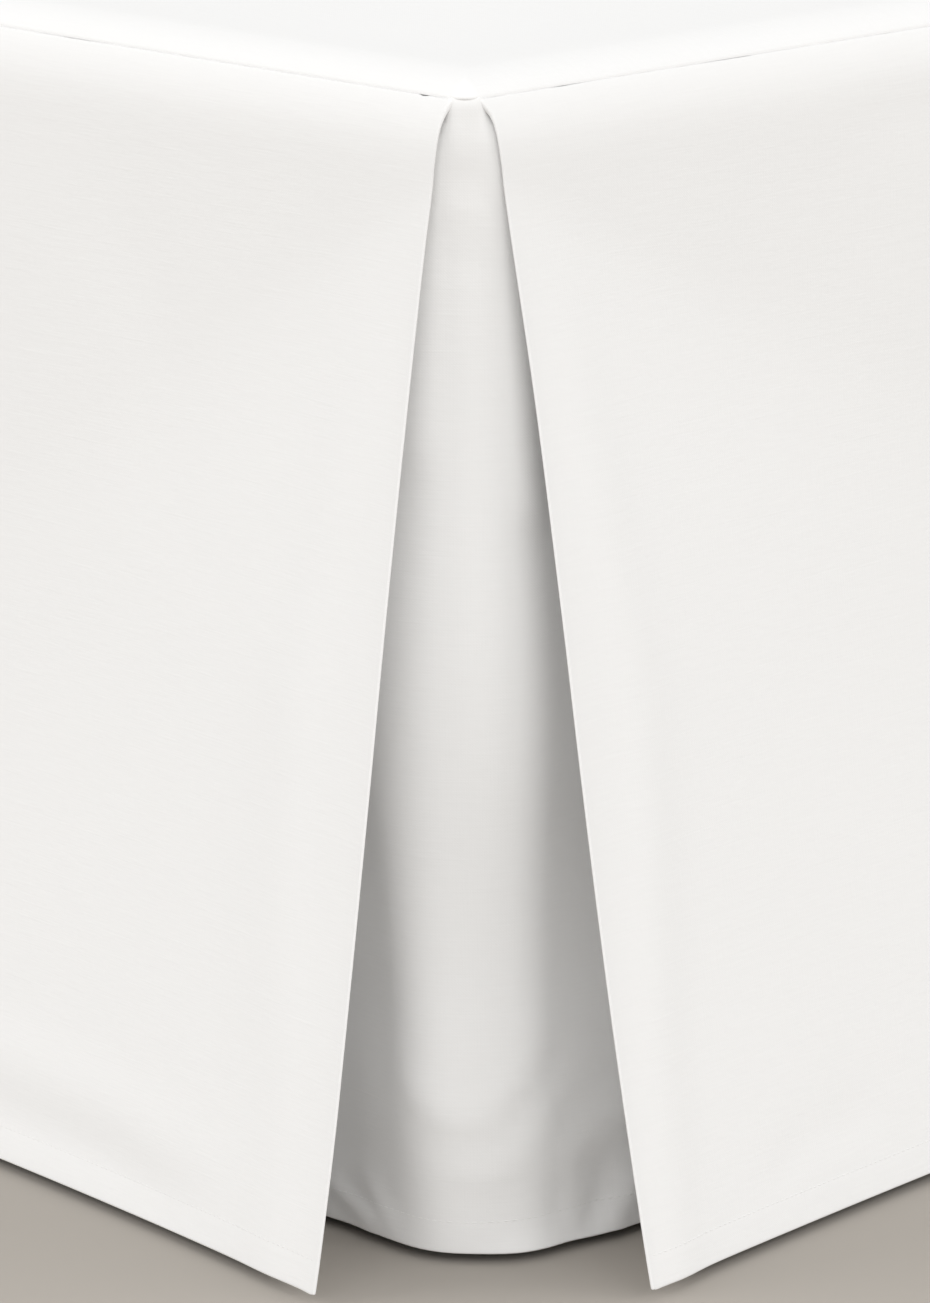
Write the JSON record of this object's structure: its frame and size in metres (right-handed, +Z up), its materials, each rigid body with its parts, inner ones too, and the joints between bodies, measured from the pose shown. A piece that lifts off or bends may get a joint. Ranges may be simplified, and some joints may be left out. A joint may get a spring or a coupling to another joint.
{
  "type": "bed skirt on box spring and bed frame",
  "caption": "Tailored cloth bed skirt with a platform deck, three plain drops and inverted corner pleats, hung over a plain box spring on a low steel frame with legs.",
  "frame": {"origin": "centre of the footprint, on the floor", "axes": "+Z up, +Y towards the head of the bed, +X towards the right side seen from the foot"},
  "size_m": [1.6562, 2.0955, 0.3914],
  "materials": {
    "skirt_cotton": "white slubbed cotton and linen plain weave, matte",
    "box_ticking": "plain woven ticking, matte",
    "frame_steel": "satin black powder coat",
    "glide_plastic": "matte black moulded plastic"
  },
  "bodies": {
    "root": {"deck": "skirt_cotton", "drop_foot": "skirt_cotton", "drop_right": "skirt_cotton", "drop_left": "skirt_cotton", "insert_right": "skirt_cotton", "insert_left": "skirt_cotton", "box_spring": "box_ticking", "rail_right": "frame_steel", "rail_left": "frame_steel", "rail_foot": "frame_steel", "rail_head": "frame_steel", "beam_centre": "frame_steel", "leg_foot_right": "frame_steel", "leg_foot_left": "frame_steel", "leg_middle_right": "frame_steel", "leg_middle_left": "frame_steel", "leg_head_right": "frame_steel", "leg_head_left": "frame_steel", "leg_centre_foot": "frame_steel", "leg_centre_head": "frame_steel", "glide_foot_right": "glide_plastic", "glide_foot_left": "glide_plastic", "glide_middle_right": "glide_plastic", "glide_middle_left": "glide_plastic", "glide_head_right": "glide_plastic", "glide_head_left": "glide_plastic", "glide_centre_foot": "glide_plastic", "glide_centre_head": "glide_plastic"}
  },
  "joints": []
}
